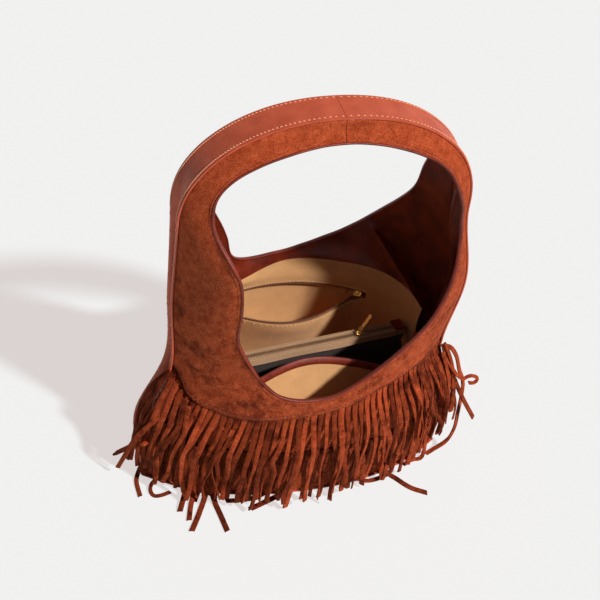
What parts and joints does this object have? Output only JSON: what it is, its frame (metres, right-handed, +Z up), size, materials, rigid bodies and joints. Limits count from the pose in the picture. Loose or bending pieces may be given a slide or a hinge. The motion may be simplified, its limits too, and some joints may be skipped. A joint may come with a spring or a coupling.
{
  "type": "fringed shoulder bag",
  "caption": "Slouchy suede shoulder bag with a built-in arched handle, wide open mouth, divided lined inside, zip pockets and long leather fringe.",
  "frame": {"origin": "middle of the flat base, on the surface that the bag stands on", "axes": "+Z up through the handle, -Y the fringed front, +X to the bag's own left as seen from the front, towards the viewer's right"},
  "size_m": [0.3258, 0.2143, 0.3853],
  "materials": {
    "suede": "napped suede, matt",
    "smooth_leather": "smooth, satin",
    "inner_leather": "smooth, satin",
    "lining_twill": "twill, matt",
    "zip_tape": "woven, matt",
    "brass": "polished",
    "stiffener": "pressed fibre board, matt"
  },
  "bodies": {
    "bag": {"back_body": "suede", "back_facing": "inner_leather", "back_lining": "lining_twill", "back_mouth_binding": "smooth_leather", "back_panel": "suede", "base_board": "stiffener", "base_panel": "smooth_leather", "divider_back": "lining_twill", "divider_front": "lining_twill", "divider_stop_left": "smooth_leather", "divider_stop_right": "smooth_leather", "divider_zip_back": "zip_tape", "divider_zip_front": "zip_tape", "fringe_lower": "suede", "fringe_upper": "suede", "front_body": "suede", "front_facing": "inner_leather", "front_lining": "lining_twill", "front_mouth_binding": "smooth_leather", "front_panel": "suede", "gusset_facing_left": "inner_leather", "gusset_facing_right": "inner_leather", "gusset_left": "smooth_leather", "gusset_right": "smooth_leather", "lining_floor": "lining_twill", "pocket_zip_lower": "zip_tape", "pocket_zip_upper": "zip_tape", "slip_pocket": "lining_twill", "slip_pocket_binding": "smooth_leather", "zip_pocket_pouch": "lining_twill"},
    "divider_slider": {"divider_slider": "brass"},
    "divider_pull": {"divider_pull": "brass"},
    "pocket_slider": {"pocket_slider": "brass"},
    "pocket_pull": {"pocket_pull": "brass"}
  },
  "joints": [
    {"name": "divider_slider_slide", "type": "slide", "parent": "bag", "child": "divider_slider", "axis": [0.9903, 0.1392, 0], "range_m": [-0.139, 0.024]},
    {"name": "divider_pull_hinge", "type": "hinge", "parent": "divider_slider", "child": "divider_pull", "pos_m": [0.05744, 0.01057, 0.12925], "axis": [-0.1392, 0.9903, 0], "range_deg": [-116, 60]},
    {"name": "pocket_slider_run", "type": "hinge", "parent": "bag", "child": "pocket_slider", "pos_m": [0, -0.05387, 0.13], "axis": [0, 0, 1], "range_deg": [0, 62]},
    {"name": "pocket_pull_hinge", "type": "hinge", "parent": "pocket_slider", "child": "pocket_pull", "pos_m": [0.07077, 0.06009, 0.13], "axis": [0, 0, 1], "range_deg": [0, 170]}
  ]
}
